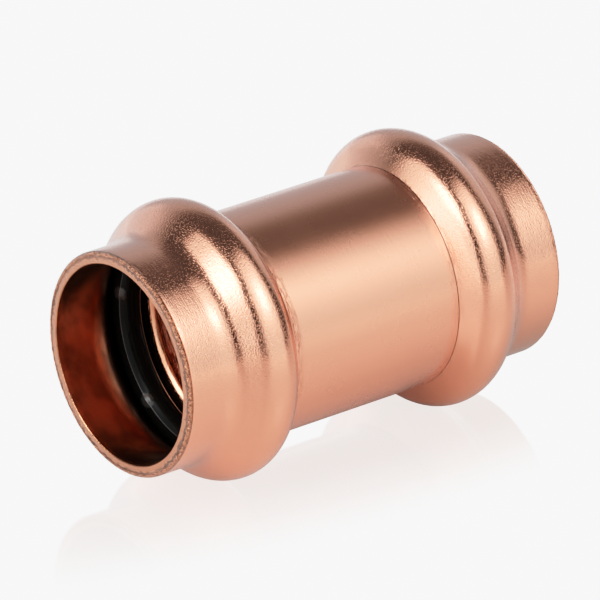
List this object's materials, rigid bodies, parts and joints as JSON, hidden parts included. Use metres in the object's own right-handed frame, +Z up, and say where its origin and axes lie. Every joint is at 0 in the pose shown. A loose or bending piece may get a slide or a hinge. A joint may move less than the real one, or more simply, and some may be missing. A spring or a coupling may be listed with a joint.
{
  "type": "straight press coupling",
  "caption": "Straight copper press coupling with a rolled bead near each open end and a rubber seal ring in each bead, for joining two pipes of one size.",
  "frame": {"origin": "the middle of the coupling, on the tube's axis", "axes": "+X along the tube's axis towards the right mouth; +Z up, with the axis level; the pipe stop's dent is on the +Y side, 30 degrees below level"},
  "size_m": [0.0508, 0.0312, 0.0312],
  "materials": {
    "copper": null,
    "seal_rubber": "moulded black EPDM, slightly greasy sheen"
  },
  "bodies": {
    "root": {"coupling_body": "copper", "seal_ring_left": "seal_rubber", "seal_ring_right": "seal_rubber"}
  },
  "joints": []
}
